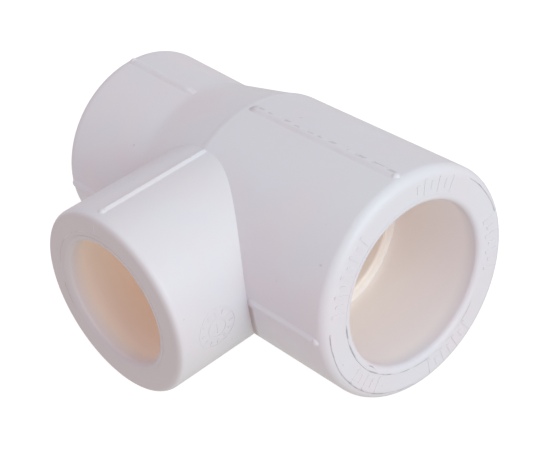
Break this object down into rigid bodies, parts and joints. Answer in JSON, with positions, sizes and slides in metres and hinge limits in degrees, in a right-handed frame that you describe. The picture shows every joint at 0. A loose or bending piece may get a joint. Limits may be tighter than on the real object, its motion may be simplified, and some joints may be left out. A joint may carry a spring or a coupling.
{
  "type": "reducing pipe tee",
  "caption": "White moulded plastic reducing tee with a large and a small socket in line and a small side socket, for heat welding onto pipe.",
  "frame": {"origin": "where the centre line of the run crosses the centre line of the branch", "axes": "+X out of the large run socket, -X out of the small run socket, -Y out of the branch socket, +Z square to both centre lines"},
  "size_m": [0.0586, 0.0464, 0.0348],
  "materials": {
    "white_plastic": "satin white polypropylene",
    "bore_plastic": "satin white polypropylene, warm inside the bores",
    "raised_plastic": "satin white polypropylene"
  },
  "bodies": {
    "root": {"large_run_barrel": "white_plastic", "reducing_cone": "white_plastic", "small_run_barrel": "white_plastic", "branch_barrel": "white_plastic", "large_run_mouth_lip": "white_plastic", "small_run_mouth_lip": "white_plastic", "branch_mouth_lip": "white_plastic", "large_run_pipe_stop": "bore_plastic", "small_run_pipe_stop": "bore_plastic", "branch_pipe_stop": "bore_plastic", "large_run_rib_top": "raised_plastic", "large_run_rib_back": "raised_plastic", "large_run_rib_bottom": "raised_plastic", "large_run_rib_front": "raised_plastic", "small_run_rib_top": "raised_plastic", "small_run_rib_back": "raised_plastic", "small_run_rib_bottom": "raised_plastic", "small_run_rib_front": "raised_plastic", "branch_rib_top": "raised_plastic", "branch_rib_bottom": "raised_plastic", "parting_bead": "raised_plastic", "end_face_marks": "raised_plastic", "date_clock": "raised_plastic"}
  },
  "joints": []
}
